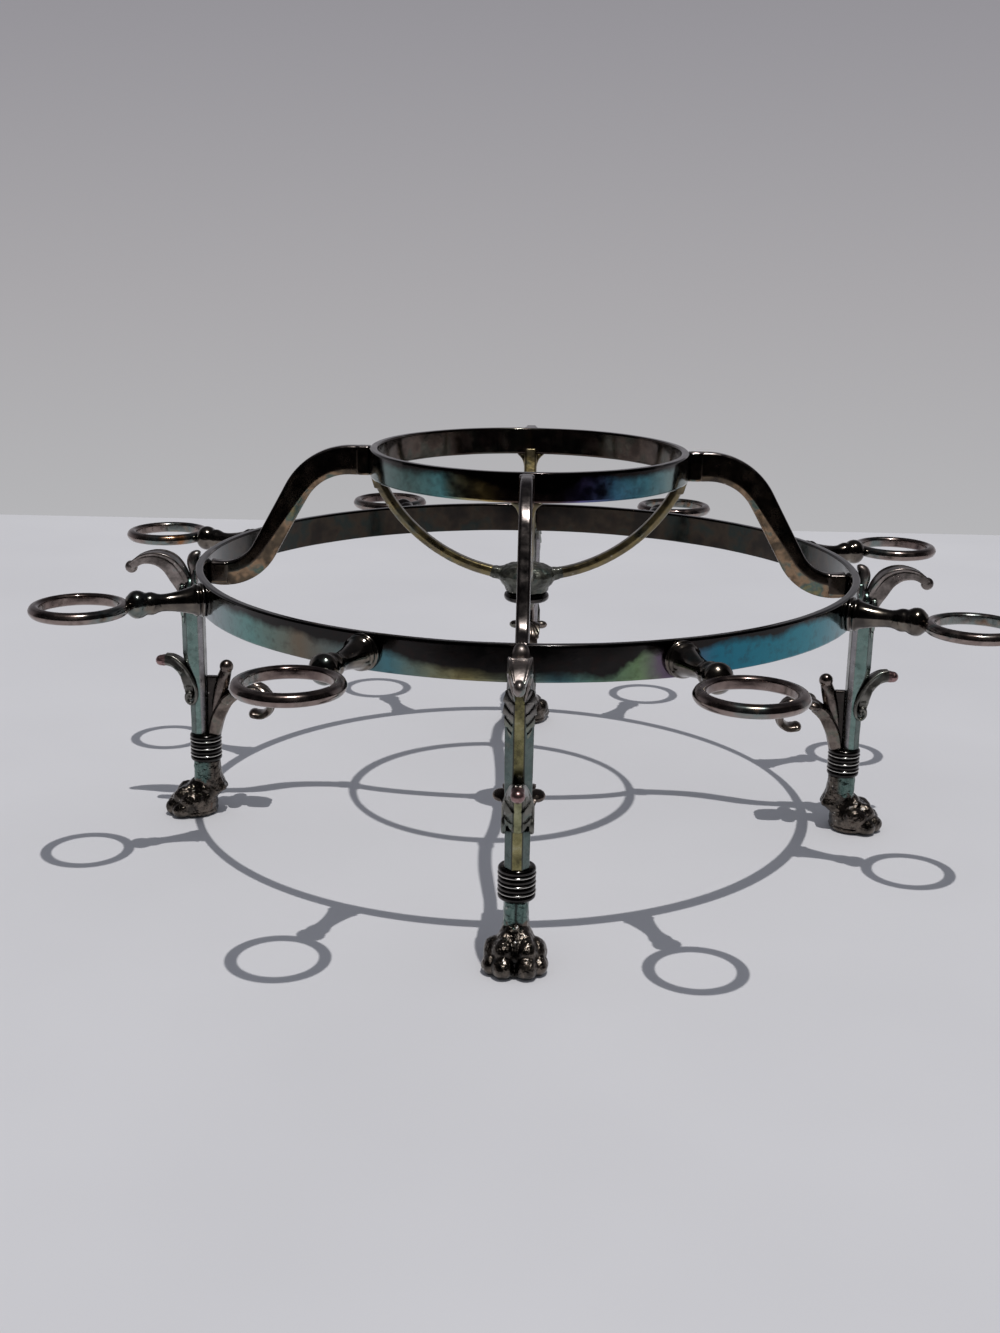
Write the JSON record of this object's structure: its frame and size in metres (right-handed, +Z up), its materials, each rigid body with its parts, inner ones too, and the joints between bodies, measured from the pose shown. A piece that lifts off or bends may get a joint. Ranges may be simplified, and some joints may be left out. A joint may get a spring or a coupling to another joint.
{
  "type": "epergne frame",
  "caption": "Silver-plated epergne frame: two hoops on scrolled lion-paw legs, S-shaped arms, a ribbed bowl cradle and turned arms that carry small vase rings.",
  "frame": {"origin": "on the table under the middle of the frame", "axes": "+Z up through the middle of both hoops; the legs stand on the X and Y axes, the front one on -Y"},
  "size_m": [0.3154, 0.3154, 0.1371],
  "materials": {
    "hoop_silver": "polished, with blue-green tarnish",
    "arm_silver": "polished, with dark tarnish",
    "cast_silver": "satin, with grey-green tarnish",
    "leg_silver": "satin, with verdigris tarnish",
    "paw_silver": "polished, with brown tarnish",
    "ring_silver": "polished, with mauve tarnish"
  },
  "bodies": {
    "root": {"lower_hoop": "hoop_silver", "upper_hoop": "hoop_silver", "cradle_hub": "cast_silver", "hub_button": "arm_silver", "front_s_arm": "arm_silver", "front_cradle_rib": "cast_silver", "front_leg_column": "leg_silver", "front_leg_top_scroll": "leg_silver", "front_leg_top_bud": "leg_silver", "front_leg_outer_leaf": "leg_silver", "front_leg_inner_leaf": "leg_silver", "front_leg_inner_bud": "leg_silver", "front_leg_collar": "arm_silver", "front_leg_paw": "paw_silver", "right_s_arm": "arm_silver", "right_cradle_rib": "cast_silver", "right_leg_column": "leg_silver", "right_leg_top_scroll": "leg_silver", "right_leg_top_bud": "leg_silver", "right_leg_outer_leaf": "leg_silver", "right_leg_inner_leaf": "leg_silver", "right_leg_inner_bud": "leg_silver", "right_leg_collar": "arm_silver", "right_leg_paw": "paw_silver", "back_s_arm": "arm_silver", "back_cradle_rib": "cast_silver", "back_leg_column": "leg_silver", "back_leg_top_scroll": "leg_silver", "back_leg_top_bud": "leg_silver", "back_leg_outer_leaf": "leg_silver", "back_leg_inner_leaf": "leg_silver", "back_leg_inner_bud": "leg_silver", "back_leg_collar": "arm_silver", "back_leg_paw": "paw_silver", "left_s_arm": "arm_silver", "left_cradle_rib": "cast_silver", "left_leg_column": "leg_silver", "left_leg_top_scroll": "leg_silver", "left_leg_top_bud": "leg_silver", "left_leg_outer_leaf": "leg_silver", "left_leg_inner_leaf": "leg_silver", "left_leg_inner_bud": "leg_silver", "left_leg_collar": "arm_silver", "left_leg_paw": "paw_silver", "vase_arm_1": "arm_silver", "vase_ring_1": "ring_silver", "vase_arm_2": "arm_silver", "vase_ring_2": "ring_silver", "vase_arm_3": "arm_silver", "vase_ring_3": "ring_silver", "vase_arm_4": "arm_silver", "vase_ring_4": "ring_silver", "vase_arm_5": "arm_silver", "vase_ring_5": "ring_silver", "vase_arm_6": "arm_silver", "vase_ring_6": "ring_silver", "vase_arm_7": "arm_silver", "vase_ring_7": "ring_silver", "vase_arm_8": "arm_silver", "vase_ring_8": "ring_silver"}
  },
  "joints": []
}
